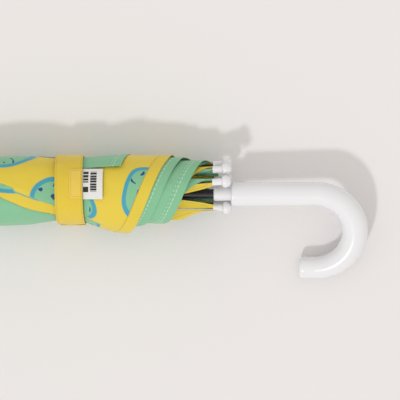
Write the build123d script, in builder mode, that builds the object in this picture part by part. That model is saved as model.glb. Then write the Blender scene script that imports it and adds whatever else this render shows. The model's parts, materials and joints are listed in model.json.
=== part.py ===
from build123d import *

import os
from math import asin, cos, degrees, radians, sin

os.makedirs("parts", exist_ok=True)

# A child's stick umbrella, furled, strapped and lying on a flat surface. Millimetres.
# Every place is first given in the shaft's frame: x runs along the shaft from the rib notch
# (x = 0) towards the handle, y to the side and z up. LYING then turns that frame so that the
# furled canopy and the end of the hook both touch the surface. An azimuth is counted about
# the shaft from straight up towards +y.

RIBS = 8

# Shaft and ferrule
SHAFT_R = 4.0
SHAFT_WALL = 0.6
SHAFT_START = -34.0
SHAFT_END = 520.0
FERRULE_START = -50.0
FERRULE_END = -12.6
FERRULE_R = 5.0
FERRULE_NOSE = 2.5
FERRULE_FLARE = 6.0
CROWN_PATCH_START = -12.4
FIT = 0.03

# Ribs and stretchers: notch pivot to joint equals joint to runner pivot, so both turn equally
ARM = 187.5
PIVOT_R = 7.0
RIB_R = 0.9
RIB_RISE = 3.0
RIB_BEND_X = 215.0
RIB_BEND_RADIUS = 400.0
FIRST_AZIMUTH = -20.0
OPEN_ANGLE = 63.0
STRETCHER_R = 0.7
EYE_R = 1.4
EYE_THICK = 1.6
EYE_HOLE_R = 0.55
WIRE_R = 0.3
CLIP_LENGTH = 5.0
CLIP_WIDTH = 4.2
CLIP_SLOT = 2.2

# Ball tips: where each one lies when the umbrella is furled
TIP_X = 462.0
TIP_RING_R = 17.5
TIP_RING_Y = 6.5
TIP_RING_Z = -1.0
TIP_ANGLES = [11.5, 50.0, 90.0, 126.0, 162.0, 198.0, 234.0, 272.0]
BALL_R = 5.0
BALL_HALF_LENGTH = 4.2
SLEEVE_R = 2.8
SLEEVE_START = 10.5
RIB_END_GAP = 2.4

# Top notch and runner
HUB_R = 8.4
HUB_HALF = 3.0
HUB_SLOT = 2.3
HUB_SLOT_ROOT_R = 5.1
RUNNER_BORE_R = 4.3
RUNNER_R = 5.9
RUNNER_FRONT = 6.0
RUNNER_LENGTH = 28.0
STOP_X = 404.0
STOP_LENGTH = 7.0
STOP_R = 6.0

# Spring catches in the shaft
CATCH_THICK = 1.2
CATCH_OUT = 2.0
CATCH_LENGTH = 16.0
CATCH_GAP = 1.2
CATCH_DEPTH = 2.4
CATCH_AZIMUTH = 180.0

# Handle
COLLAR_START = 452.0
COLLAR_R = 5.5
GRIP_START = 466.0
GRIP_R = 9.6
BEND_START = 533.0
HOOK_R = 32.0
BEND_R = 10.3
HOOK_END_R = 8.75
HOOK_ARM = 13.0
PIN_X = 492.0
PIN_R = 1.0

# Furled canopy, strap and label
WRAP_FRONT = -10.0
WRAP_END = 449.0
WRAP_FRONT_WALL = 2.0
STRAP_X = 338.0
STRAP_WIDTH = 22.0
STRAP_R = 27.8
STRAP_THICK = 0.9
STRAP_LIFT = 0.6
SEAT_R = 26.6
SEAT_Y = 3.5
SEAT_START = 321.0
SEAT_END = 368.0
GAP = 0.3
GORE_STRIP_WIDTH = 5.0
GORE_STRIP_THICK = 0.5
GORE_STRIP_LIFT = 2.2
LABEL_START = 349.3
LABEL_END = 366.0

# Lying pose
NOTCH_HEIGHT = 10.4
BODY_HEIGHT = 25.0
PITCH = degrees(asin((BODY_HEIGHT - NOTCH_HEIGHT) / STRAP_X))
HOOK_TIP_X = BEND_START - HOOK_ARM
HOOK_TIP_HEIGHT = NOTCH_HEIGHT + HOOK_TIP_X * sin(radians(PITCH))
HOOK_ROLL = degrees(asin((HOOK_TIP_HEIGHT - HOOK_END_R) / (2 * HOOK_R)))
ROW_X = -262.6
ROW_Y = 18.38

LYING = Plane(
    origin=(ROW_X, ROW_Y, NOTCH_HEIGHT),
    x_dir=(cos(radians(PITCH)), 0, sin(radians(PITCH))),
    z_dir=(-sin(radians(PITCH)), 0, cos(radians(PITCH))),
).location
SHAFT_AXIS = Axis(LYING.position, (cos(radians(PITCH)), 0, sin(radians(PITCH))))


def outward(azimuth):
    """The direction away from the shaft at an azimuth, in the shaft's frame."""
    return Vector(0, sin(radians(azimuth)), cos(radians(azimuth)))


def sideways(azimuth):
    """The direction around the shaft at an azimuth; a rib opens by turning about it."""
    return Vector(0, -cos(radians(azimuth)), sin(radians(azimuth)))


def laid(plane):
    """A plane of the shaft's frame, turned with it into the lying pose."""
    return Plane(LYING * plane.location)


def across(x, y=0.0, z=0.0):
    """A plane across the shaft at x, whose own x and y are the frame's y and z."""
    return laid(Plane(origin=(x, y, z), x_dir=(0, 1, 0), z_dir=(1, 0, 0)))


def along(azimuth, offset=0.0):
    """A plane through the shaft: its x runs along the shaft and its y outward."""
    side = sideways(azimuth)
    return laid(Plane(origin=side * offset, x_dir=(1, 0, 0), z_dir=side))


def axis_height(x):
    """How high the shaft's axis is above the surface."""
    return NOTCH_HEIGHT + x * sin(radians(PITCH))


def rib_azimuth(k):
    return FIRST_AZIMUTH + k * 360 / RIBS


def rib_bend(k):
    """Where rib k bends from its straight inner part towards its tip."""
    return Vector(RIB_BEND_X, 0, 0) + outward(rib_azimuth(k)) * (
        PIVOT_R + RIB_RISE * RIB_BEND_X / ARM
    )


def rib_pivot(k):
    return outward(rib_azimuth(k)) * PIVOT_R


def tip_centre(k):
    """The middle of rib k's ball tip."""
    turn = radians(TIP_ANGLES[k])
    return Vector(TIP_X, TIP_RING_Y + TIP_RING_R * sin(turn), TIP_RING_Z + TIP_RING_R * cos(turn))


def tip_plane(k):
    """A plane whose x runs out along the end of rib k, from its ball's centre."""
    direction = (tip_centre(k) - rib_bend(k)).normalized()
    side = direction.cross(Vector(0, 0, 1) if abs(direction.Z) < 0.9 else Vector(0, 1, 0))
    return Plane(origin=tip_centre(k), x_dir=direction, z_dir=side.normalized())


def finish(piece, name):
    """Label a finished piece and write it."""
    piece.label = name
    export_step(piece, f"parts/{name}.step")


# ---- Shaft: a steel tube with a slot for each catch and a hole for the handle's pin ----
RUNNER_X = 2 * ARM
BOTTOM_CATCH_X = RUNNER_X - RUNNER_FRONT - CATCH_GAP
TOP_CATCH_X = (
    2 * ARM * cos(radians(OPEN_ANGLE)) - RUNNER_FRONT + RUNNER_LENGTH + CATCH_GAP + CATCH_LENGTH
)

with BuildPart() as shaft:
    with BuildSketch(across(SHAFT_START)):
        Circle(SHAFT_R)
        Circle(SHAFT_R - SHAFT_WALL, mode=Mode.SUBTRACT)
    extrude(amount=SHAFT_END - SHAFT_START)
    for catch_end in (BOTTOM_CATCH_X, TOP_CATCH_X):
        with BuildSketch(along(CATCH_AZIMUTH)):
            with Locations((catch_end - CATCH_LENGTH / 2, SHAFT_R)):
                Rectangle(CATCH_LENGTH + 2 * CATCH_GAP, 2 * SHAFT_WALL + 1)
        extrude(amount=CATCH_THICK / 2 + GAP, both=True, mode=Mode.SUBTRACT)
    with BuildSketch(along(0)):
        with Locations((PIN_X, 0)):
            Circle(PIN_R + FIT)
    extrude(amount=2 * SHAFT_R, both=True, mode=Mode.SUBTRACT)
finish(shaft.part, "shaft")

# ---- Ferrule: a blind plastic cap on the front of the shaft ----
with BuildPart() as ferrule:
    with BuildSketch(along(0)):
        with BuildLine():
            Polyline(
                (SHAFT_START, 0),
                (SHAFT_START, SHAFT_R + FIT),
                (FERRULE_END, SHAFT_R + FIT),
                (FERRULE_END, FERRULE_R + 1.2),
                (FERRULE_END - FERRULE_FLARE, FERRULE_R),
                (FERRULE_START + FERRULE_NOSE, FERRULE_R),
                (FERRULE_START, FERRULE_R - FERRULE_NOSE),
                (FERRULE_START, 0),
                close=True,
            )
        make_face()
    revolve(axis=SHAFT_AXIS)
finish(ferrule.part, "ferrule")

with BuildPart() as crown_patch:
    with BuildSketch(across(CROWN_PATCH_START)):
        Circle(HUB_R)
        Circle(SHAFT_R + FIT, mode=Mode.SUBTRACT)
    extrude(amount=1.0)
finish(crown_patch.part, "crown_patch")

with BuildPart() as crown_cap:
    with BuildSketch(across(CROWN_PATCH_START + 1.1)):
        Circle(HUB_R - 1)
        Circle(SHAFT_R + FIT, mode=Mode.SUBTRACT)
    extrude(amount=1.2)
finish(crown_cap.part, "crown_cap")

# ---- Top notch and runner: slotted hubs, each with a wire ring that its eyes turn on ----
with BuildPart() as top_notch:
    with BuildSketch(across(-HUB_HALF)):
        Circle(HUB_R)
        Circle(SHAFT_R + FIT, mode=Mode.SUBTRACT)
    extrude(amount=2 * HUB_HALF)
    for k in range(RIBS):
        with BuildSketch(along(rib_azimuth(k))):
            with Locations((0, HUB_SLOT_ROOT_R + HUB_R / 2)):
                Rectangle(2 * HUB_HALF + 1, HUB_R)
        extrude(amount=HUB_SLOT / 2, both=True, mode=Mode.SUBTRACT)
    with BuildSketch(along(0)):
        with Locations((0, PIVOT_R)):
            Circle(WIRE_R + FIT)
    revolve(axis=SHAFT_AXIS, mode=Mode.SUBTRACT)
finish(top_notch.part, "top_notch")

with BuildPart() as runner:
    with BuildSketch(across(RUNNER_X - HUB_HALF)):
        Circle(HUB_R)
    extrude(amount=2 * HUB_HALF)
    with BuildSketch(across(RUNNER_X - RUNNER_FRONT)):
        Circle(RUNNER_R)
    extrude(amount=RUNNER_LENGTH)
    with BuildSketch(across(RUNNER_X - RUNNER_FRONT + RUNNER_LENGTH - 2)):
        Circle(RUNNER_R + 1)
    extrude(amount=2)
    for k in range(RIBS):
        with BuildSketch(along(rib_azimuth(k))):
            with Locations((RUNNER_X, HUB_SLOT_ROOT_R + 0.3 + HUB_R / 2)):
                Rectangle(2 * HUB_HALF + 6, HUB_R)
        extrude(amount=HUB_SLOT / 2, both=True, mode=Mode.SUBTRACT)
    with BuildSketch(along(0)):
        with Locations((RUNNER_X, PIVOT_R)):
            Circle(WIRE_R + FIT)
    revolve(axis=SHAFT_AXIS, mode=Mode.SUBTRACT)
    with BuildSketch(across(RUNNER_X - RUNNER_FRONT)):
        Circle(RUNNER_BORE_R)
    extrude(amount=RUNNER_LENGTH, mode=Mode.SUBTRACT)
finish(runner.part, "runner")

for ring_name, ring_x in (("notch_wire", 0.0), ("runner_wire", RUNNER_X)):
    with BuildPart() as ring:
        with BuildSketch(along(0)):
            with Locations((ring_x, PIVOT_R)):
                Circle(WIRE_R)
        revolve(axis=SHAFT_AXIS)
    finish(ring.part, ring_name)

with BuildPart() as bottom_stop:
    with BuildSketch(across(STOP_X)):
        Circle(STOP_R)
        Circle(SHAFT_R + FIT, mode=Mode.SUBTRACT)
    extrude(amount=STOP_LENGTH)
finish(bottom_stop.part, "bottom_stop")

# ---- Catches: a blade that turns on its foot inside the tube and stands out of its slot ----
for catch_name, catch_end, nose in (
    ("bottom_catch", BOTTOM_CATCH_X, 1),
    ("top_catch", TOP_CATCH_X - CATCH_LENGTH, -1),
):
    with BuildPart() as catch:
        with BuildSketch(along(CATCH_AZIMUTH)):
            with BuildLine():
                Polyline(
                    (catch_end, SHAFT_R + CATCH_OUT),
                    (catch_end, SHAFT_R - CATCH_DEPTH),
                    (catch_end - nose * CATCH_LENGTH, SHAFT_R - CATCH_DEPTH),
                    (catch_end - nose * CATCH_LENGTH, SHAFT_R - 1),
                    (catch_end - nose * 3, SHAFT_R + CATCH_OUT),
                    close=True,
                )
            make_face()
        extrude(amount=CATCH_THICK / 2, both=True)
    finish(catch.part, catch_name)

# ---- Ribs with their clips and tips, and stretchers ----
for k in range(RIBS):
    plane = along(rib_azimuth(k))
    pivot, bend, tip = rib_pivot(k), rib_bend(k), tip_centre(k)
    outer = (tip - bend).normalized()
    inner = (bend - pivot).normalized()
    start = pivot + inner * (EYE_R - 0.5)
    end = tip - outer * (BALL_HALF_LENGTH + RIB_END_GAP)
    with BuildPart() as rib:
        with BuildSketch(plane):
            with Locations((0, PIVOT_R)):
                Circle(EYE_R)
        extrude(amount=EYE_THICK / 2, both=True)
        with BuildLine():
            route = FilletPolyline(
                [(LYING * Location(p)).position for p in (start, bend, end)],
                radius=RIB_BEND_RADIUS,
            )
        with BuildSketch(Plane(origin=route @ 0, z_dir=route % 0)):
            Circle(RIB_R)
        sweep(path=route)
        with BuildSketch(plane):
            with Locations((0, PIVOT_R)):
                Circle(EYE_HOLE_R)
        extrude(amount=EYE_THICK, both=True, mode=Mode.SUBTRACT)
    finish(rib.part, f"rib_{k + 1}")

    with BuildPart() as rib_clip:
        with BuildSketch(plane):
            with Locations((ARM, PIVOT_R + RIB_RISE / 2)):
                Rectangle(CLIP_LENGTH, RIB_RISE + 2 * EYE_R)
        extrude(amount=CLIP_WIDTH / 2, both=True)
        with BuildSketch(plane):
            with Locations((ARM, PIVOT_R - RIB_RISE / 2)):
                Rectangle(2 * CLIP_LENGTH, RIB_RISE + 2 * EYE_R + GAP)
        extrude(amount=CLIP_SLOT / 2, both=True, mode=Mode.SUBTRACT)
        with BuildSketch(laid(Plane(origin=pivot + inner * ARM, z_dir=inner))):
            Circle(RIB_R + FIT)
        extrude(amount=CLIP_LENGTH, both=True, mode=Mode.SUBTRACT)
        with BuildSketch(plane):
            with Locations((ARM, PIVOT_R)):
                Circle(EYE_HOLE_R - 0.1)
        extrude(amount=CLIP_WIDTH / 2, both=True)
    finish(rib_clip.part, f"rib_clip_{k + 1}")

    with BuildPart() as stretcher:
        for eye_x in (ARM, RUNNER_X):
            with BuildSketch(plane):
                with Locations((eye_x, PIVOT_R)):
                    Circle(EYE_R)
            extrude(amount=EYE_THICK / 2, both=True)
        foot = Vector(ARM + EYE_R - 0.5, 0, 0) + outward(rib_azimuth(k)) * PIVOT_R
        with BuildSketch(laid(Plane(origin=foot, z_dir=(1, 0, 0)))):
            Circle(STRETCHER_R)
        extrude(amount=ARM - 2 * EYE_R + 1)
        for eye_x in (ARM, RUNNER_X):
            with BuildSketch(plane):
                with Locations((eye_x, PIVOT_R)):
                    Circle(EYE_HOLE_R)
            extrude(amount=EYE_THICK, both=True, mode=Mode.SUBTRACT)
    finish(stretcher.part, f"stretcher_{k + 1}")

    tip_frame = laid(tip_plane(k))
    tip_axis = Axis(tip_frame.origin, tip_frame.x_dir)
    with BuildPart() as ball_tip:
        with BuildSketch(tip_frame):
            with BuildLine():
                Polyline(
                    (BALL_HALF_LENGTH, 0),
                    (-SLEEVE_START, 0),
                    (-SLEEVE_START, SLEEVE_R),
                    (-BALL_HALF_LENGTH * 0.8, SLEEVE_R),
                    (-BALL_HALF_LENGTH * 0.5, BALL_R * 0.92),
                )
                Spline(
                    (-BALL_HALF_LENGTH * 0.5, BALL_R * 0.92),
                    (0, BALL_R),
                    (BALL_HALF_LENGTH * 0.75, BALL_R * 0.7),
                    (BALL_HALF_LENGTH, 0),
                    tangents=((1, 0.3), (0, -1)),
                )
            make_face()
        revolve(axis=tip_axis)
        with BuildSketch(laid(Plane(origin=tip - outer * (SLEEVE_START + 1), z_dir=outer))):
            Circle(RIB_R + FIT)
        extrude(amount=SLEEVE_START + 1 - BALL_HALF_LENGTH - RIB_END_GAP + GAP, mode=Mode.SUBTRACT)
    finish(ball_tip.part, f"tip_{k + 1}")

    spread = Vector(0, bend.Y + tip.Y - TIP_RING_Y, bend.Z + tip.Z - TIP_RING_Z)
    facing = (spread - outer * spread.dot(outer)).normalized()
    with BuildPart() as gore:
        lifted = bend + facing * GORE_STRIP_LIFT
        with BuildSketch(laid(Plane(lifted, x_dir=outer, z_dir=facing))):
            with Locations(((tip - bend).length / 2 - SLEEVE_START / 2, 0)):
                Rectangle((tip - bend).length - 2 * SLEEVE_START, GORE_STRIP_WIDTH)
        extrude(amount=GORE_STRIP_THICK)
    finish(gore.part, f"gore_{k + 1}")

# ---- Handle: a straight grip, a half-circle hook and a short arm, on the end of the shaft ----
HOOK_AZIMUTH = 270 - HOOK_ROLL
hook_plane = along(HOOK_AZIMUTH)
with BuildPart() as handle:
    with BuildSketch(across(GRIP_START)):
        Circle(GRIP_R)
    extrude(amount=BEND_START - GRIP_START)
    fillet(handle.faces().sort_by(SHAFT_AXIS)[0].edges(), 1.6)
    with BuildLine(hook_plane):
        hook = CenterArc((BEND_START, HOOK_R), HOOK_R, -90, 180)
    with BuildSketch(Plane(origin=hook @ 0, z_dir=hook % 0)):
        Circle(GRIP_R)
    with BuildSketch(Plane(origin=hook @ 0.4, z_dir=hook % 0.4)):
        Circle(BEND_R)
    with BuildSketch(Plane(origin=hook @ 1, z_dir=hook % 1)):
        Circle(HOOK_END_R)
    sweep(path=hook, multisection=True)
    with BuildSketch(Plane(origin=hook @ 1, z_dir=hook % 1)):
        Circle(HOOK_END_R)
    extrude(amount=HOOK_ARM)
    fillet(handle.faces().sort_by_distance(hook @ 1 + (hook % 1) * HOOK_ARM)[0].edges(), 3.0)
    with BuildSketch(across(GRIP_START)):
        Circle(SHAFT_R + FIT)
    extrude(amount=SHAFT_END - GRIP_START + GAP, mode=Mode.SUBTRACT)
    with BuildSketch(along(0)):
        with Locations((PIN_X, 0)):
            Circle(PIN_R + FIT)
    extrude(amount=2 * GRIP_R, both=True, mode=Mode.SUBTRACT)
finish(handle.part, "handle")

with BuildPart() as handle_collar:
    with BuildSketch(across(COLLAR_START)):
        Circle(COLLAR_R)
        Circle(SHAFT_R + FIT, mode=Mode.SUBTRACT)
    extrude(amount=GRIP_START - COLLAR_START)
    chamfer(handle_collar.edges().group_by(SHAFT_AXIS)[0].sort_by(SortBy.LENGTH)[-1], 0.6)
finish(handle_collar.part, "handle_collar")

with BuildPart() as handle_pin:
    with BuildSketch(along(0)):
        with Locations((PIN_X, 0)):
            Circle(PIN_R)
    extrude(amount=GRIP_R - 1, both=True)
finish(handle_pin.part, "handle_pin")

# ---- Furled canopy: a shell around the folded frame, open at the handle's end ----
# Each station: x, sideways offset and radius of the outside.
OUTSIDE = [
    (WRAP_FRONT, 0.0, 10.0),
    (60.0, 0.6, 14.2),
    (190.0, 1.8, 23.0),
    (281.0, 2.6, 28.2),
    (SEAT_START, SEAT_Y, SEAT_R),
    (SEAT_END, SEAT_Y, SEAT_R),
    (385.0, 0.8, 30.2),
    (420.0, 3.4, 27.0),
    (WRAP_END, 6.5, 22.9),
]
INSIDE = [
    (WRAP_FRONT + WRAP_FRONT_WALL, 0.0, 9.0),
    (20.0, 0.0, 9.6),
    (RIB_BEND_X, 0.3, 14.2),
    (WRAP_END + 1, TIP_RING_Y, 21.6),
]


def lift(x, radius):
    """How far above the shaft's axis a circle resting on the surface has its centre."""
    return max(radius - axis_height(x), TIP_RING_Z)


STRAP_Z = lift(STRAP_X, STRAP_R + STRAP_LIFT)

with BuildPart() as canopy_wrap:
    for x, y, radius in OUTSIDE:
        with BuildSketch(across(x, y, STRAP_Z if radius == SEAT_R else lift(x, radius))):
            Circle(radius)
    loft(ruled=True)
    for x, y, radius in INSIDE:
        with BuildSketch(across(x, y, TIP_RING_Z * max(x - RIB_BEND_X, 0) / (TIP_X - RIB_BEND_X))):
            Circle(radius)
    loft(ruled=True, mode=Mode.SUBTRACT)
    with BuildSketch(across(WRAP_FRONT)):
        Circle(SHAFT_R + GAP)
    extrude(amount=WRAP_FRONT_WALL, mode=Mode.SUBTRACT)
finish(canopy_wrap.part, "canopy_wrap")

# ---- Strap round the canopy, its hook-and-loop tab and the sewn label ----
TAB_FIRST, TAB_LAST = 205.0, 255.0

# Each band about the strap's centre: start, length, inner and outer radius, azimuths.
BANDS = {
    "strap": (STRAP_X - STRAP_WIDTH / 2, STRAP_WIDTH, STRAP_R - STRAP_THICK, STRAP_R, 0, 360),
    "loop_pad": (STRAP_X - 8, 16, STRAP_R + 0.05, STRAP_R + 0.6, TAB_FIRST + 4, TAB_LAST - 14),
    "hook_pad": (STRAP_X - 8, 16, STRAP_R + 0.7, STRAP_R + 1.2, TAB_FIRST + 4, TAB_LAST - 14),
    "strap_tab": (STRAP_X - 10, 20, STRAP_R + 1.25, STRAP_R + 2.0, TAB_FIRST, TAB_LAST),
    "strap_label": (LABEL_START, LABEL_END - LABEL_START, SEAT_R + GAP, SEAT_R + 0.8, -14, 38),
}

for name, (start, length, inside, outside, first, last) in BANDS.items():
    with BuildPart() as ring_part:
        with BuildSketch(across(start, SEAT_Y, STRAP_Z)):
            Circle(outside)
            Circle(inside, mode=Mode.SUBTRACT)
            if last - first < 360:
                corners = [
                    (2 * outside * sin(radians(a)), 2 * outside * cos(radians(a)))
                    for a in (first, (first + last) / 2, last)
                ]
                with BuildLine():
                    Polyline((0, 0), *corners, close=True)
                make_face(mode=Mode.INTERSECT)
        extrude(amount=length)
    finish(ring_part.part, name)
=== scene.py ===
import json
import math

import bpy
import numpy as np
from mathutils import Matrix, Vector


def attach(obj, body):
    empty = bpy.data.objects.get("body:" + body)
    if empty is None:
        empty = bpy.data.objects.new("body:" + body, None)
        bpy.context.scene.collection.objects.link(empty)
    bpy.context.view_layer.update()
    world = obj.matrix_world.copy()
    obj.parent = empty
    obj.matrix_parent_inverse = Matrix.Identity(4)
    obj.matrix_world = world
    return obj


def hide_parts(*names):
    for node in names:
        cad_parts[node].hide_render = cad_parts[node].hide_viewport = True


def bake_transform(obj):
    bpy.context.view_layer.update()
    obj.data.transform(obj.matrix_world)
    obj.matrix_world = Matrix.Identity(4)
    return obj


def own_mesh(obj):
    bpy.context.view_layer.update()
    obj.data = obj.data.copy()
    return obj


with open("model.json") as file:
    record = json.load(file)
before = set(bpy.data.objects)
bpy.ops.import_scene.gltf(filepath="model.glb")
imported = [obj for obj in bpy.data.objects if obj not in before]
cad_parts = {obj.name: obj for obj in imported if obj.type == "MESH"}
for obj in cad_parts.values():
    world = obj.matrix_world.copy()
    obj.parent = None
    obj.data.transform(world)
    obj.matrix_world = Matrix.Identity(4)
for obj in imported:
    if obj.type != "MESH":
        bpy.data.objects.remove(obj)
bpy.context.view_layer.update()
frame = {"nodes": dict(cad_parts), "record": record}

# A children's umbrella, furled and strapped. Lengths are in millimetres, in a frame whose x runs
# along the shaft from the notch to the grip.
RIBS = 8
MM = 0.001


# ---------------------------------------------------------------- the shaft's frame
mounts = {m["name"]: np.array(m["pos_m"], float) for m in frame["record"]["mounts"]}
joints = {j["name"]: j for j in frame["record"]["behaviour"]["joints"]}
shaft_line = mounts["grip"] - mounts["ferrule_tip"]
ALONG = shaft_line / np.linalg.norm(shaft_line)
SIDE = np.array([0.0, 1.0, 0.0])
UP = np.cross(ALONG, SIDE)
notch_pivot = np.array(joints["canopy_open"]["pos_m"], float)
NOTCH = mounts["grip"] + ALONG * ((notch_pivot - mounts["grip"]) @ ALONG)


def place(x, y, z):
    """Points given in the shaft's frame, in millimetres, as points of the row, in metres."""
    x, y, z = np.broadcast_arrays(np.asarray(x, float), y, z)
    return NOTCH + MM * (x[..., None] * ALONG + y[..., None] * SIDE + z[..., None] * UP)


def axis_height(x):
    """The height of the shaft's axis above the floor."""
    return float(NOTCH[2]) / MM + x * float(ALONG[2])


def smooth(t):
    """0 to 1 as t goes from 0 to 1, with level ends."""
    t = np.clip(t, 0.0, 1.0)
    return t * t * (3 - 2 * t)


def bell(distance, width, power=2):
    """1 at no distance, falling to nothing past the width."""
    return np.exp(-((distance / width) ** power))


# ---------------------------------------------------------------- materials
class Nodes:
    """Short calls for a node tree."""

    def __init__(self, tree):
        self.tree = tree

    def add(self, kind, inputs=(), **settings):
        node = self.tree.nodes.new(kind)
        for key, value in settings.items():
            setattr(node, key, value)
        for key, value in dict(inputs).items():
            if isinstance(value, bpy.types.NodeSocket):
                self.tree.links.new(value, node.inputs[key])
            else:
                node.inputs[key].default_value = value
        return node

    def math(self, operation, a, b=0.0, c=0.0):
        return self.add("ShaderNodeMath", {0: a, 1: b, 2: c}, operation=operation).outputs[0]

    def vector(self, operation, a, b=(0.0, 0.0, 0.0)):
        node = self.add("ShaderNodeVectorMath", {0: a, 1: b}, operation=operation)
        return node.outputs["Value" if operation == "LENGTH" else "Vector"]

    def mix(self, factor, a, b):
        return self.add("ShaderNodeMix", {0: factor, 6: a, 7: b}, data_type="RGBA").outputs[2]

    def step(self, value, low, high):
        """0 below low, 1 above high and smooth between them."""
        inputs = {0: value, 1: low, 2: high, 3: 0.0, 4: 1.0}
        return self.add("ShaderNodeMapRange", inputs, interpolation_type="SMOOTHSTEP").outputs[0]

    def below(self, value, low, high):
        """1 below low, 0 above high and smooth between them."""
        return self.math("SUBTRACT", 1.0, self.step(value, low, high))

    def split(self, vector):
        return self.add("ShaderNodeSeparateXYZ", {0: vector}).outputs

    def noise(self, vector, scale, detail=2.0):
        """A noise as a number and as a colour."""
        node = self.add("ShaderNodeTexNoise", {"Vector": vector, "Scale": scale, "Detail": detail})
        return node.outputs["Fac"], node.outputs["Color"]

    def position(self):
        return self.add("ShaderNodeTexCoord").outputs["Object"]

    def bump(self, height, distance, strength=1.0, normal=None):
        inputs = {"Height": height, "Distance": distance, "Strength": strength}
        if normal is not None:
            inputs["Normal"] = normal
        return self.add("ShaderNodeBump", inputs).outputs[0]

    def shade(self, links, values):
        """Link and set the shader's sockets."""
        shader = self.tree.nodes["Principled BSDF"]
        for key, value in links.items():
            self.tree.links.new(value, shader.inputs[key])
        for key, value in values.items():
            shader.inputs[key].default_value = value


def new_material(name):
    material = bpy.data.materials.new(name)
    material.use_nodes = True
    return material, Nodes(material.node_tree)


YELLOW = (0.76, 0.585, 0.055, 1)
YELLOW_DEEP = (0.66, 0.47, 0.035, 1)
YELLOW_THREAD = (0.62, 0.42, 0.05, 1)
GREEN = (0.235, 0.53, 0.315, 1)
GREEN_DEEP = (0.16, 0.42, 0.235, 1)
GREEN_THREAD = (0.55, 0.76, 0.55, 1)
TEAL = (0.055, 0.345, 0.46, 1)
NAVY = (0.02, 0.07, 0.20, 1)

# The canopy cloth, in metres.
THREAD_PITCH = 0.0009
HEM_WIDTH = 0.0085
SECOND_SEAM = 0.0022
STITCH_PITCH = 0.0032
STITCH_SHARE = 0.62

# The print: a rim's width, the blur of its two edges, and how far its outline wanders.
RIM_WIDTH = 0.0027
OUTER_BLUR = 0.0003
INNER_BLUR = 0.0004
BLOB_WARP = 0.010

# Blobs of the print on each gore's flat cut, in metres: across, along, half width, half length.
BLOBS = (
    (0.105, 0.400, 0.018, 0.020),
    (0.115, 0.346, 0.0115, 0.0145),
    (0.107, 0.326, 0.0125, 0.020),
    (0.073, 0.283, 0.0150, 0.030),
    (0.1255, 0.291, 0.0105, 0.024),
    (0.161, 0.352, 0.012, 0.010),
    (0.050, 0.376, 0.020, 0.024),
    (0.040, 0.330, 0.014, 0.017),
    (-0.052, 0.330, 0.030, 0.026),
    (-0.108, 0.372, 0.018, 0.015),
    (-0.078, 0.276, 0.015, 0.017),
    (0.012, 0.268, 0.021, 0.024),
    (-0.034, 0.214, 0.020, 0.024),
    (0.050, 0.212, 0.013, 0.016),
    (0.006, 0.156, 0.015, 0.020),
    (-0.010, 0.104, 0.010, 0.015),
)


def weave(nodes, flat):
    """The cloth's plain weave as a height."""
    threads = nodes.split(flat)
    waves = [
        nodes.math("SINE", nodes.math("MULTIPLY", threads[i], 2 * math.pi / THREAD_PITCH))
        for i in range(2)
    ]
    return nodes.math("MULTIPLY", waves[0], waves[1])


def stitching(nodes, hem, at):
    """A seam at a distance from the hem: 1 on its dashes, and 1 all along its line."""
    from_hem, along_hem = nodes.split(hem)[:2]
    off = nodes.math("ABSOLUTE", nodes.math("SUBTRACT", from_hem, at))
    line = nodes.below(off, 0.0002, 0.0005)
    beat = nodes.math("FRACT", nodes.math("MULTIPLY", along_hem, 1 / STITCH_PITCH))
    dash = nodes.math("LESS_THAN", beat, STITCH_SHARE)
    return nodes.math("MULTIPLY", line, dash), line


def nearest_blob(nodes, flat):
    """The distance out of the nearest blob, negative inside it."""
    _, warp = nodes.noise(flat, 26.0, 1.0)
    moved = nodes.vector("SUBTRACT", warp, (0.5, 0.5, 0.5))
    moved = nodes.vector("MULTIPLY", moved, (BLOB_WARP, BLOB_WARP, 0.0))
    moved = nodes.vector("ADD", flat, moved)
    nearest = None
    for x, y, half_width, half_length in BLOBS:
        gap = nodes.vector("SUBTRACT", moved, (x, y, 0.0))
        gap = nodes.vector("MULTIPLY", gap, (1 / half_width, 1 / half_length, 0.0))
        size = min(half_width, half_length)
        gap = nodes.math("MULTIPLY_ADD", nodes.vector("LENGTH", gap), size, -size)
        nearest = gap if nearest is None else nodes.math("MINIMUM", nearest, gap)
    return nearest


def printed_blobs(nodes, colour, flat, hem, rough):
    """Teal rims round green middles with dark specks, on the cloth but not on its turned hem."""
    nearest = nearest_blob(nodes, flat)
    body = nodes.math("GREATER_THAN", nodes.split(hem)[0], HEM_WIDTH)
    rim = nodes.math("MULTIPLY", nodes.below(nearest, -OUTER_BLUR, OUTER_BLUR), body)
    colour = nodes.mix(rim, colour, TEAL)
    core = nodes.below(nearest, -RIM_WIDTH - INNER_BLUR, -RIM_WIDTH + INNER_BLUR)
    core = nodes.math("MULTIPLY", core, body)
    leaf = nodes.mix(nodes.math("MULTIPLY", rough, 0.3), GREEN, GREEN_DEEP)
    colour = nodes.mix(core, colour, leaf)
    specks, _ = nodes.noise(flat, 210.0, 0.0)
    marks = nodes.math("MULTIPLY", nodes.step(specks, 0.72, 0.74), core)
    return nodes.mix(marks, colour, NAVY)


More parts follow.
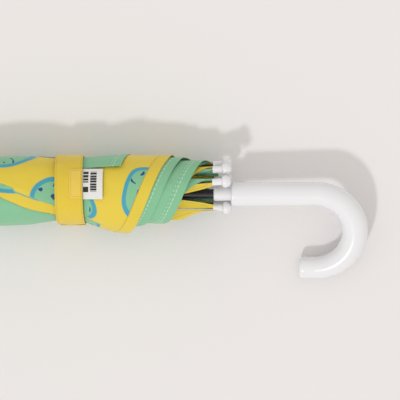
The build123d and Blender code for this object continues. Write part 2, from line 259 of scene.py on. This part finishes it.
def cloth(name, printed):
    """Canopy cloth from its two maps: 'flat', the place on the flat gore, and 'hem'."""
    material, nodes = new_material(name)
    flat = nodes.add("ShaderNodeUVMap", uv_map="flat").outputs[0]
    hem = nodes.add("ShaderNodeUVMap", uv_map="hem").outputs[0]
    rough, _ = nodes.noise(nodes.position(), 55.0, 4.0)
    ground, deep = (YELLOW, YELLOW_DEEP) if printed else (GREEN, GREEN_DEEP)
    colour = nodes.mix(nodes.math("MULTIPLY", rough, 0.35), ground, deep)
    dashes, line = stitching(nodes, hem, HEM_WIDTH)
    if printed:
        colour = printed_blobs(nodes, colour, flat, hem, rough)
    else:
        second, _ = stitching(nodes, hem, HEM_WIDTH - SECOND_SEAM)
        dashes = nodes.math("MAXIMUM", dashes, second)
    thread = YELLOW_THREAD if printed else GREEN_THREAD
    colour = nodes.mix(nodes.math("MULTIPLY", dashes, 0.75), colour, thread)
    fine = nodes.bump(weave(nodes, flat), 0.00006, 0.6)
    crease, _ = nodes.noise(nodes.position(), 120.0, 3.0)
    folds = nodes.bump(crease, 0.0012, 0.5, fine)
    puckers = nodes.bump(nodes.math("MULTIPLY", line, -1.0), 0.0005, 0.8, folds)
    nodes.shade(
        {"Base Color": colour, "Normal": puckers},
        {
            "Roughness": 0.62,
            "Sheen Weight": 0.25,
            "Sheen Roughness": 0.45,
            "Specular IOR Level": 0.35,
        },
    )
    return material


def plastic(name, colour, roughness=0.22):
    """Glossy moulded plastic, a little uneven."""
    material, nodes = new_material(name)
    spots, _ = nodes.noise(nodes.position(), 30.0, 3.0)
    deep = tuple(c * 0.95 for c in colour[:3]) + (1,)
    shade, _ = nodes.noise(nodes.position(), 400.0, 2.0)
    waves, _ = nodes.noise(nodes.position(), 60.0, 1.0)
    nodes.shade(
        {
            "Base Color": nodes.mix(spots, colour, deep),
            "Roughness": nodes.math("MULTIPLY_ADD", shade, 0.08, roughness - 0.04),
            "Normal": nodes.bump(waves, 0.0002, 0.25),
        },
        {
            "Coat Weight": 0.5,
            "Coat Roughness": 0.12,
            "Subsurface Weight": 0.08,
            "Subsurface Radius": (0.004, 0.004, 0.004),
        },
    )
    return material


def metal(name, colour, roughness, metallic):
    """Drawn steel, bare or painted, with rougher, bumped streaks, whose colour is also lightened as painted
    sheen.
    """
    material, nodes = new_material(name)
    streaks_and_sheen, _ = nodes.noise(nodes.position(), 300.0, 3.0)
    # Painted sheen: a lighter copy of the colour, mixed in along the streaks; the streaks' roughness and
    # bump are the steel's own.
    bright = tuple(min(1.0, c * 1.5 + 0.02) for c in colour[:3]) + (1,)
    nodes.shade(
        {
            "Base Color": nodes.mix(nodes.math("MULTIPLY", streaks_and_sheen, 0.4), colour, bright),
            "Roughness": nodes.math("MULTIPLY_ADD", streaks_and_sheen, 0.2, roughness - 0.1),
            "Normal": nodes.bump(streaks_and_sheen, 0.0001, 0.3),
        },
        {"Metallic": metallic},
    )
    return material


def webbing(name, colour, deep, ribbed=0.0011):
    """Woven tape or pad cloth, ribbed by the position along the shaft."""
    material, nodes = new_material(name)
    spots, _ = nodes.noise(nodes.position(), 90.0, 3.0)
    along = nodes.split(nodes.position())[0]
    ribs = nodes.math("SINE", nodes.math("MULTIPLY", along, 2 * math.pi / ribbed))
    fuzz, _ = nodes.noise(nodes.position(), 900.0, 2.0)
    height = nodes.math("MULTIPLY_ADD", fuzz, 1.5, ribs)
    nodes.shade(
        {
            "Base Color": nodes.mix(nodes.math("MULTIPLY", spots, 0.5), colour, deep),
            "Normal": nodes.bump(height, 0.00012, 0.5),
        },
        {"Roughness": 0.75, "Sheen Weight": 0.3, "Specular IOR Level": 0.3},
    )
    return material


WHITE = plastic("white_plastic", (0.80, 0.80, 0.83, 1))
STEEL = metal("black_steel", (0.012, 0.012, 0.014, 1), 0.42, 0.3)
BRIGHT = metal("bright_steel", (0.55, 0.55, 0.57, 1), 0.35, 1.0)
PRINTED = cloth("printed_cloth", True)
PLAIN = cloth("plain_cloth", False)
STRAP = webbing("strap_cloth", (0.76, 0.565, 0.05, 1), (0.66, 0.45, 0.035, 1))
STRAP_PATCH = webbing("strap_patch", (0.82, 0.60, 0.10, 1), (0.74, 0.50, 0.06, 1), 0.0009)
LABEL = webbing("label_cloth", (0.80, 0.80, 0.78, 1), (0.72, 0.72, 0.70, 1), 0.0006)
THREAD = webbing("thread", (0.60, 0.40, 0.03, 1), (0.5, 0.32, 0.02, 1), 0.0006)
INK = webbing("label_ink", (0.02, 0.02, 0.022, 1), (0.035, 0.035, 0.04, 1), 0.0006)
CROWN_YELLOW = webbing("crown_yellow", YELLOW, YELLOW_DEEP, 0.0009)
PAD = webbing("pad_cloth", (0.62, 0.44, 0.06, 1), (0.5, 0.34, 0.04, 1), 0.0007)

SLOT_MATERIALS = {
    "white_plastic": WHITE,
    "black_steel": STEEL,
    "bright_steel": BRIGHT,
    "canopy_cloth": PLAIN,
    "strap_cloth": STRAP,
    "label_cloth": LABEL,
    "pad_cloth": PAD,
}
for row in frame["record"]["subparts"]:
    node = frame["nodes"][row["node"]]
    node.data.materials.clear()
    node.data.materials.append(SLOT_MATERIALS[row["material_slot"]])


# ---------------------------------------------------------------- meshes
def grid(name, points, materials, maps=None, closed=False, pick=None):
    """A mesh from rows by columns of points. maps holds a pair of numbers for each point under
    each map's name, closed joins the last column to the first, and pick gives the material's
    number for a face's row and column."""
    rows, columns = points.shape[:2]
    wrap = columns if closed else columns - 1
    faces = []
    for i in range(rows - 1):
        for j in range(wrap):
            k = (j + 1) % columns
            near, far = i * columns, (i + 1) * columns
            faces.append((near + j, near + k, far + k, far + j))
    mesh = bpy.data.meshes.new(name)
    mesh.from_pydata(points.reshape(-1, 3).tolist(), [], faces)
    for material in materials:
        mesh.materials.append(material)
    corners = np.array(faces).ravel()
    for key, value in (maps or {}).items():
        layer = mesh.uv_layers.new(name=key)
        layer.data.foreach_set("uv", value.reshape(-1, 2)[corners].astype(np.float32).ravel())
    mesh.polygons.foreach_set("use_smooth", [True] * len(faces))
    if pick is not None:
        picked = [pick(f // wrap, f % wrap) for f in range(len(faces))]
        mesh.polygons.foreach_set("material_index", picked)
    obj = bpy.data.objects.new(name, mesh)
    bpy.context.scene.collection.objects.link(obj)
    return obj


def thicken(obj, thickness):
    """Give a sheet a thickness, in metres, half on each side."""
    modifier = obj.modifiers.new("thickness", "SOLIDIFY")
    modifier.thickness = thickness
    modifier.offset = 0.0
    return obj


# ---------------------------------------------------------------- the ribs
# Furled ribs run straight from the notch to a bend, then straight to a ring of ball tips, which
# sags to one side of the shaft.
RIB_AZIMUTH = tuple(-20.0 + 45.0 * k for k in range(RIBS))
TIP_ANGLES = (11.5, 50.0, 90.0, 126.0, 162.0, 198.0, 234.0, 272.0)
NOTCH_R = 7.0
RIB_JOINT_X, RIB_JOINT_RISE = 187.5, 3.0
BEND_X, TIP_X = 215.0, 462.0
RING_Y, RING_Z, RING_R = 6.5, -1.0, 17.5


def rib_radius(x):
    """The ribs' distance from the axis, up to their bend."""
    return NOTCH_R + RIB_JOINT_RISE * np.clip(x, 0, BEND_X) / RIB_JOINT_X


def past_bend(x):
    """0 at the ribs' bend and 1 at their tips."""
    return (x - BEND_X) / (TIP_X - BEND_X)


def rib_line(k, x):
    """Points on rib k's centre line."""
    azimuth = math.radians(RIB_AZIMUTH[k])
    tip = math.radians(TIP_ANGLES[k])
    tip_y, tip_z = RING_Y + RING_R * math.sin(tip), RING_Z + RING_R * math.cos(tip)
    share = np.clip(past_bend(x), 0, None)
    y = rib_radius(x) * math.sin(azimuth) * (1 - share) + tip_y * share
    z = rib_radius(x) * math.cos(azimuth) * (1 - share) + tip_z * share
    return place(x, y, z)


# ---------------------------------------------------------------- the furled bundle's outside
# Stations of the outline: x, sideways offset, radius.
OUTLINE = np.array(
    [
        (-9.0, 0.0, 9.0),
        (0.0, 0.0, 9.8),
        (60.0, 0.6, 14.0),
        (190.0, 1.8, 22.8),
        (281.0, 2.6, 28.4),
        (305.0, 3.0, 28.2),
        (322.0, 3.5, 26.3),
        (335.0, 3.5, 26.2),
        (349.0, 3.2, 26.6),
        (368.0, 2.0, 29.0),
        (386.0, 1.4, 30.0),
        (420.0, 3.4, 26.8),
        (462.0, 6.5, 22.6),
    ]
)
FLOOR_GAP = 0.2


def outline(x):
    """Sideways offset, height offset and radius of the outside at x, resting on the floor."""
    y = np.interp(x, OUTLINE[:, 0], OUTLINE[:, 1])
    radius = np.interp(x, OUTLINE[:, 0], OUTLINE[:, 2])
    z = np.maximum(radius + FLOOR_GAP - axis_height(x), RING_Z)
    return y, z, radius


def rib_ring(x):
    """The same for the ring that the ribs lie on."""
    share = np.clip(past_bend(x), 0, 1)
    return RING_Y * share, RING_Z * share, rib_radius(x) + (RING_R - rib_radius(BEND_X)) * share


# ---------------------------------------------------------------- furled gores
STRAP_X, STRAP_WIDTH = 338.0, 22.0
STRAP_R, STRAP_Y, STRAP_LIFT = 27.6, 3.5, 0.6

# A gore's flat cut: half its width for each unit of length, where it starts, and how far its hem
# lies from the notch at a rib and at the fold.
HALF_GORE = 0.376
GORE_START, HEM_TIP, HEM_FOLD = 4.0, 457.0, 384.0
EDGE_X = 383.0
ROOT_LAP = 7.0
PLEAT = 30.0

# Where the bundle stops widening, and the mean radius that flaps wind at from there on.
WIDEST_X, CONE_APEX, WIND_R = 281.0, -30.0, 23.5

# Flaps, from the top of the bundle round; furled_gore says what each value is.
FLAPS = (
    dict(rib=0, edge=41.0, printed=False, curve=0.42, fold=379.5, lean=0.95, mouth=1.0),
    dict(rib=7, edge=-112.0, printed=True, curve=0.92, fold=380.5, tuck=23.0, dip=36.0, puff=7.0, flare=5.5),
    dict(rib=6, edge=-134.0, printed=False, curve=0.98, slant=0.55),
    dict(rib=5, edge=-192.0, printed=True, curve=0.52, slant=0.4),
    dict(rib=4, edge=-200.0, printed=False, curve=1.15),
    dict(rib=3, edge=-230.0, printed=True, curve=0.65),
    dict(rib=2, edge=-262.0, printed=False, curve=0.65),
    dict(rib=1, edge=-290.0, printed=True, curve=0.48),
)


def wind_radius(x):
    """The mean radius that a flap winds at."""
    return np.where(x > WIDEST_X, WIND_R, WIND_R * (x - CONE_APEX) / (WIDEST_X - CONE_APEX))


def folded_columns(half):
    """Across a folded gore: the share of the way from its root to its fold, out and back, and the
    layer, 0 on the outside and 1 underneath."""
    ramp = np.linspace(0, 1, half)
    out = smooth(ramp) * 0.45 + ramp * 0.55
    layer = np.concatenate([np.zeros(half), np.linspace(0.3, 1, 3), np.ones(half - 4)])
    return np.concatenate([out, out[-2::-1]])[None, :], layer[None, :]


def winding(x, q, root, edge, lean, slant):
    """The azimuth of each point of a flap, and its angle from the fold, in radians."""
    natural = HALF_GORE * EDGE_X / wind_radius(EDGE_X)
    turn = math.radians(root - edge) * (HALF_GORE * x / wind_radius(x)) / natural
    before_edge = EDGE_X - x
    by_strap = np.clip(before_edge, 0.0, 34.0) * smooth((x - 324.0) / 22.0)
    to_crown = np.clip(before_edge, 0.0, 110.0) * np.clip(x / 250.0, 0, 1)
    turn = turn + np.radians(lean) * by_strap + np.radians(slant) * to_crown
    return math.radians(root) - turn * q, turn * (1 - q)


def furled_gore(
    number, rib, edge, printed, curve,
    fold=HEM_FOLD, tuck=0.0, lean=0.0, slant=0.0, mouth=0.0, dip=0.0, puff=0.0, flare=0.0,
):
    """One gore folded in two along its middle and wound round the bundle.

    rib is the rib at its root, and edge the fold's azimuth at EDGE_X, in degrees. curve bends the
    hem on its way from the root to the fold, which it reaches at x = fold. tuck is a crease's
    angle from the fold, and the cloth past it is raised. lean turns the fold back beside the
    strap, in degrees a millimetre, and slant does so all the way to the crown. mouth opens the
    fold at its corner and flare turns that corner out. dip draws the hem in by the root, and puff
    swells it there."""
    root = TIP_ANGLES[rib] + ROOT_LAP + (360.0 if rib == 0 else 0.0)
    v = np.linspace(0, 1, 150)[:, None]
    q, layer = folded_columns(64)
    hem_x = HEM_TIP - (HEM_TIP - fold) * q**curve
    hem_x = hem_x - dip * (1 - np.exp(-q / 0.02)) * (1 - smooth(q / 0.5))
    x = GORE_START + v * (hem_x - GORE_START)
    theta, phi = winding(x, q, root, edge, lean, slant)
    outer_y, outer_z, radius = outline(x)
    inner_y, inner_z, inner = rib_ring(x)
    inner = inner + 1.6
    from_fold, from_hem = phi * radius, (1 - v) * (hem_x - GORE_START)

    # From the ribs at its root, a flap climbs to the outside; each next one lies under the last.
    depth = np.clip((0.47 - q) / 0.47, 0, 1) ** 1.25
    body = np.clip(x / 200.0, 0, 1)
    under = 0.7 * number * (1 - 0.7 * smooth((x - 395.0) / 20.0)) * body
    r = radius + 0.3 + (inner - radius - 0.3) * depth - under * (1 - depth)

    # Loose cloth ripples, and waves along its fold, except where the strap holds it.
    strapped = bell(x - STRAP_X, 17.0, 4)
    loose = (1 - strapped) * body
    by_fold, by_hem = bell(from_fold, 5.0), bell(from_hem, 16.0)
    wave = np.abs(np.sin(x / 46.0 + number * 2.1)) * 0.5 + 0.15
    ripple = np.sin(theta * 5.0 + x / 31.0) * 0.4 + np.sin(theta * 11.0 - x / 17.0) * 0.14
    r = r + loose * (ripple * (1 - 0.7 * depth) + by_fold * wave)
    r = r + loose * by_hem * (1 - depth) * 0.25

    # The hem's swelling by the root.
    leaving = np.radians(root) - theta
    swollen = smooth((x - 398.0) / 16.0) * smooth((HEM_TIP - x) / 32.0)
    r = r + puff * smooth(leaving / 0.25) * (1 - smooth((leaving - 1.0) / 1.2)) * swollen

    # The fold's corner: the two layers part at its mouth, and it flares out.
    gap = 0.3 + loose * (0.4 * by_fold * (from_fold > 0.4) + 0.15 * by_hem)
    corner = bell(from_fold, 14.0) * bell(from_hem, 22.0)
    gap = gap + 3.2 * mouth * corner * smooth(from_fold / 4.0)
    r = r + 1.6 * mouth * corner + flare * bell(from_fold, 20.0) * bell(from_hem, 22.0)
    if tuck:
        past = smooth((np.degrees(phi) - tuck) / 2.5)
        r = r + (0.6 - 1.0 * (1 - past)) * (1 - 0.6 * strapped)
    r = r - layer * gap

    y = outer_y + (inner_y - outer_y) * depth + r * np.sin(theta)
    z = outer_z + (inner_z - outer_z) * depth + r * np.cos(theta)
    points = place(x, y, z)

    # The maps: the place on the flat gore, where a crease hides a pleat's width, and on the hem.
    side = 1 - 2 * layer
    across = q * HALF_GORE * x
    if tuck:
        across = across + PLEAT * (np.degrees(phi) < tuck)
    hem_length = MM * np.hypot(HEM_TIP - HEM_FOLD, HALF_GORE * HEM_FOLD)
    flat = np.stack(np.broadcast_arrays(MM * across * side, MM * x), axis=-1)
    hem = np.stack(np.broadcast_arrays(MM * from_hem * 0.97, hem_length * q * side), axis=-1)

    material = PRINTED if printed else PLAIN
    piece = grid(f"furled_gore_{number}", points, [material], {"flat": flat, "hem": hem})
    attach(piece, "shaft")
    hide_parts("canopy_wrap")
    anchor = place(25.0, 0.0, 0.0)
    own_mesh(piece)


for number, flap in enumerate(FLAPS, 1):
    furled_gore(number, **flap)


# ---------------------------------------------------------------- gores between the ribs
SPREAD_START = 5.0
SPREAD_DIP = 40.0
RIB_CLEAR_M = 0.0013


def gore_edges(k, x):
    """The two edges of the cloth between rib k and the next, just outside the ribs."""
    near, far = rib_line(k, x), rib_line((k + 1) % RIBS, x)
    out = (near + far) / 2 - place(x, 0 * x, 0 * x)
    out = RIB_CLEAR_M * out / np.linalg.norm(out, axis=-1, keepdims=True)
    return near + out, far + out


def blend_level(k, inner):
    """The slope and offset of a level that is 0 on a gore's near edge and 1 on its far one. The
    crown half's edges share a plane, so there the level is taken across the gap at the bend."""
    bend, tip = (gore_edges(k, np.array(x)) for x in (BEND_X, TIP_X))
    if inner:
        gap = bend[1] - bend[0]
        slope = gap / (gap @ gap)
        return slope, -slope @ bend[0]
    corners = np.array([bend[0], tip[0], bend[1], tip[1]])
    gradient = np.linalg.solve(np.hstack([corners, np.ones((4, 1))]), np.array([0.0, 0.0, 1.0, 1.0]))
    return gradient[:3], gradient[3]


def spread_part(k, name, inner, rows, columns=41):
    """Half of one gore, from the crown to the ribs' bend or from there to the hem, between one rib and the
    next."""
    slope, level = blend_level(k, inner)
    c = np.linspace(0, 1, columns)[None, :]
    v = np.linspace(0, 1, rows)[:, None]
    hem_x = HEM_TIP - SPREAD_DIP * (1 - np.abs(2 * c - 1) ** 1.3)
    if inner:
        x = SPREAD_START + v * (BEND_X - SPREAD_START) + 0 * c
    else:
        x = BEND_X + v * (hem_x - BEND_X)
    # Columns stand where the blend, a smooth step, gives them equal turns.
    turned = 0.5 - np.sin(np.arcsin(1 - 2 * c) / 3)
    near, far = gore_edges(k, x)
    near_level, far_level = near @ slope + level, far @ slope + level
    s = np.clip((turned - near_level) / (far_level - near_level), -1.0, 2.0)
    points = near + s[..., None] * (far - near)
    across = (2 * c - 1) * HALF_GORE * x
    flat = np.stack(np.broadcast_arrays(MM * across, MM * x), axis=-1)
    hem = np.stack(np.broadcast_arrays(MM * (hem_x - x), MM * 340.0 * c), axis=-1)
    piece = grid(name, points, [PRINTED if k % 2 else PLAIN], {"flat": flat, "hem": hem})
    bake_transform(piece)
    return piece


def spread_gore(k):
    """The cloth between rib k and the next, a sliver at rest."""
    inner = spread_part(k, f"spread_gore_{k + 1}_crown", True, 45)
    outer = spread_part(k, f"spread_gore_{k + 1}", False, 50)
    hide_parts(f"gore_{k + 1}")
    widths = [np.linalg.norm(np.subtract(*gore_edges(k, np.array(x)))) for x in (BEND_X, TIP_X)]


for k in range(RIBS):
    spread_gore(k)


# ---------------------------------------------------------------- the crown's gathered cloth
CROWN_START, CROWN_END = -11.7, 9.0
CROWN_R, CROWN_SHOULDER, CROWN_FLARE = 6.3, 4.0, 1.1
CROWN_GATHER = 0.35
SECTOR_COLUMNS = 20


def crown_face(row, column):
    """Eight sectors, in turn plain and printed."""
    return (column // SECTOR_COLUMNS) % 2


def crown_piece():
    """The middle of the canopy, gathered over the notch."""
    x = np.linspace(CROWN_START, CROWN_END, 24)[:, None]
    turn = np.linspace(0, 360, RIBS * SECTOR_COLUMNS + 1)[:-1]
    theta = np.radians(RIB_AZIMUTH[0] + turn)[None, :]
    share = (x - CROWN_START) / (CROWN_END - CROWN_START)
    r = CROWN_R + CROWN_SHOULDER * smooth(share * 3.0) + CROWN_FLARE * share
    r = r + CROWN_GATHER * np.sin(theta * 2 * RIBS) * smooth(share * 4.0)
    z = np.maximum(r * np.cos(theta), 0.3 - axis_height(x))
    materials = [PLAIN, CROWN_YELLOW]
    points = place(x, r * np.sin(theta), z)
    piece = grid("crown_cloth", points, materials, closed=True, pick=crown_face)
    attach(piece, "shaft")
    tuple(place(CROWN_START, 0.0, 0.0))
    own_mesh(piece)


crown_piece()


# ---------------------------------------------------------------- strap
STRAP_START = STRAP_X - STRAP_WIDTH / 2
STRAP_SEAM = 1.3
STRAP_ROWS = 46
PATCH_WIDTH, PATCH_LOW, PATCH_HIGH = 10.0, -3.4, 19.4
PATCH_ROWS, PATCH_COLUMNS = 26, 60
TAB_WIDTH, TAB_FIRST, TAB_LAST = 20.0, 205.0, 255.0
PAD_WIDTH, PAD_FIRST, PAD_LAST = 16.0, 210.0, 240.0


def band(name, middle, width, radius, first, last, bulge, materials, columns=160, rows=14, pick=None):
    """A strip of cloth about the strap's centre, from azimuth first to last, in degrees. bulge
    raises its middle over its two edges."""
    centre_z = STRAP_R + STRAP_LIFT - axis_height(STRAP_X)
    across = np.linspace(-1, 1, rows)[:, None]
    theta = np.radians(np.linspace(first, last, columns))[None, :]
    x = middle + across * width / 2
    r = radius + bulge * (1 - across**4) + 0.12 * np.sin(theta * 7 + x / 3)
    x = x + 0.3 * np.sin(theta * 2.0 + 0.6) - 0.85 * np.sin(theta)
    points = place(x, STRAP_Y + r * np.sin(theta), centre_z + r * np.cos(theta))
    return grid(name, points, materials, pick=pick)


def strap_azimuth(y):
    """The azimuth at which the strap's outside is at a sideways place."""
    return math.degrees(math.asin((y - STRAP_Y) / STRAP_R))


def on_strap(piece, slot, body, width, length, *nodes_replaced):
    """Ride a strap piece on a body."""
    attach(piece, body)
    if nodes_replaced:
        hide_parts(*nodes_replaced)
    azimuth = math.radians(RIB_AZIMUTH[0])
    outward = math.sin(azimuth) * SIDE + math.cos(azimuth) * UP
    anchor = rib_line(0, np.array(STRAP_X)) + outward * 0.003
    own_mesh(piece)


def strap_face(row, column):
    """The thread's material on the stitches of two thin rows, by the strap's edges."""
    place_across = (row + 0.5) / (STRAP_ROWS - 1) * STRAP_WIDTH
    from_edge = min(place_across, STRAP_WIDTH - place_across)
    return 1 if abs(from_edge - STRAP_SEAM) < 0.27 and column % 4 < 3 else 0


def strap_band():
    """The strap, once round the bundle."""
    strap = band(
        "strap_band", STRAP_X, STRAP_WIDTH, STRAP_R - 0.45, 182, 540, 0.25,
        [STRAP, THREAD], 420, STRAP_ROWS, strap_face,
    )
    thicken(strap, 0.0008)
    on_strap(strap, "strap_cloth", "rib_1", 0.022, 0.175, "strap")


def patch_face(row, column):
    """Stitching round the sewn end of the strap."""
    edge = min(row, PATCH_ROWS - 1 - row) / (PATCH_ROWS - 1) * PATCH_WIDTH
    side = min(column, PATCH_COLUMNS - 2 - column) * 22.5 / PATCH_COLUMNS
    return 1 if 0.9 < min(edge, side) < 1.5 and (row + column) % 4 < 3 else 0


def strap_end():
    """The strap's sewn end, on top."""
    middle = STRAP_START + STRAP_WIDTH - PATCH_WIDTH / 2 - 0.4
    patch = band(
        "strap_end", middle, PATCH_WIDTH, STRAP_R + 0.35,
        strap_azimuth(PATCH_LOW), strap_azimuth(PATCH_HIGH), 0.15,
        [STRAP_PATCH, THREAD], PATCH_COLUMNS, PATCH_ROWS, patch_face,
    )
    thicken(patch, 0.0005)
    on_strap(patch, "strap_cloth", "rib_1", 0.010, 0.024)


def strap_tab():
    """The free end that peels off, and the pair of pads that holds it."""
    tab = band(
        "strap_tab_cloth", STRAP_X, TAB_WIDTH, STRAP_R + 1.55, TAB_FIRST, TAB_LAST, 0.15,
        [STRAP, THREAD],
    )
    thicken(tab, 0.0007)
    on_strap(tab, "strap_cloth", "strap_tab", 0.020, 0.0255, "strap_tab")
    for name, lift, body in (("loop_pad", 0.35, "rib_1"), ("hook_pad", 0.95, "strap_tab")):
        pad = band(
            name + "_pile", STRAP_X, PAD_WIDTH, STRAP_R + lift, PAD_FIRST, PAD_LAST, 0.05,
            [PAD], 60, 20,
        )
        thicken(pad, 0.0005)
        on_strap(pad, "pad_cloth", body, 0.016, 0.0147, name)


strap_band()
strap_end()
strap_tab()


# ---------------------------------------------------------------- label
# A white tape with a column of plain bars and a striped block, no lettering.
LABEL_START, LABEL_WIDTH, LABEL_LOW, LABEL_HIGH = 348.2, 17.2, -4.2, 19.8
LABEL_ROWS, LABEL_COLUMNS = 58, 74
BARS_X = (1.6, 5.6)
BARS = ((15.6, 17.6), (13.0, 15.0), (10.7, 12.4), (8.8, 10.1), (1.4, 5.6))
BLOCK_X, BLOCK_Y = (7.2, 12.4), (1.8, 17.4)
STRIPE_PITCH, STRIPE_GAP = 2.1, 0.45


def label_face(row, column):
    """Ink on the block's stripes and on the bars."""
    x = (row + 0.5) / (LABEL_ROWS - 1) * LABEL_WIDTH
    y = LABEL_LOW + (column + 0.5) / (LABEL_COLUMNS - 1) * (LABEL_HIGH - LABEL_LOW)
    in_block = BLOCK_X[0] < x < BLOCK_X[1] and BLOCK_Y[0] < y < BLOCK_Y[1]
    in_bars = BARS_X[0] < x < BARS_X[1] and any(low < y < high for low, high in BARS)
    return 1 if in_block and y % STRIPE_PITCH > STRIPE_GAP or in_bars else 0


def label_piece():
    """The label lies on the outer gore, from under the strap's edge."""
    x = np.linspace(LABEL_START, LABEL_START + LABEL_WIDTH, LABEL_ROWS)[:, None]
    y = np.linspace(LABEL_LOW, LABEL_HIGH, LABEL_COLUMNS)[None, :]
    centre_y, centre_z, radius = outline(x)
    lift = 0.9 + 0.9 * smooth((x - LABEL_START) / LABEL_WIDTH) + 0.25 * np.sin(y / 5.0)
    z = centre_z + np.sqrt((radius + lift) ** 2 - (y - centre_y) ** 2)
    label = grid("label_tape", place(x, y, z), [LABEL, INK], pick=label_face)
    thicken(label, 0.0004)
    on_strap(label, "label_cloth", "rib_1", 0.019, 0.027, "strap_label")


label_piece()


# ---------------------------------------------------------------- camera, floor and light
VIEW_X, VIEW_Y, VIEW_WIDTH = 441.0, -4.8, 320.0
LENS, SENSOR = 250.0, 36.0
FLOOR_HALF_M = 4.0
SUN_FROM = (-0.36, -0.74, 1.0)


def look_down():
    """A camera straight above the handle's end of the umbrella."""
    data = bpy.data.cameras.new("camera")
    data.lens = LENS
    data.sensor_width = SENSOR
    camera = bpy.data.objects.new("camera", data)
    bpy.context.scene.collection.objects.link(camera)
    target = Vector(place(VIEW_X, VIEW_Y, 0.0))
    camera.location = target + Vector((0, 0, MM * VIEW_WIDTH * LENS / SENSOR))
    bpy.context.scene.camera = camera


def lay_floor():
    """A plain pale floor."""
    material, nodes = new_material("floor")
    spots, _ = nodes.noise(nodes.position(), 4.0, 2.0)
    colour = nodes.mix(spots, (0.80, 0.775, 0.78, 1), (0.78, 0.76, 0.765, 1))
    nodes.shade({"Base Color": colour}, {"Roughness": 0.7})
    steps = np.linspace(-FLOOR_HALF_M, FLOOR_HALF_M, 3)
    x, y = np.meshgrid(steps, steps)
    grid("floor", np.stack([x, y, x * 0], axis=-1), [material])


def light_studio():
    """A weak soft sun from the ferrule's side and the front, in an even warm white room."""
    data = bpy.data.lights.new("sun", "SUN")
    data.energy = 0.95
    data.angle = math.radians(5.0)
    data.color = (0.97, 0.98, 1.0)
    sun = bpy.data.objects.new("sun", data)
    bpy.context.scene.collection.objects.link(sun)
    sun.rotation_euler = Vector(SUN_FROM).normalized().to_track_quat("Z", "Y").to_euler()
    world = bpy.data.worlds.new("studio")
    world.use_nodes = True
    background = world.node_tree.nodes["Background"]
    background.inputs["Color"].default_value = (1.0, 0.975, 0.925, 1)
    background.inputs["Strength"].default_value = 0.83
    bpy.context.scene.world = world
    bpy.context.scene.view_settings.view_transform = "Standard"


look_down()
lay_floor()
light_studio()
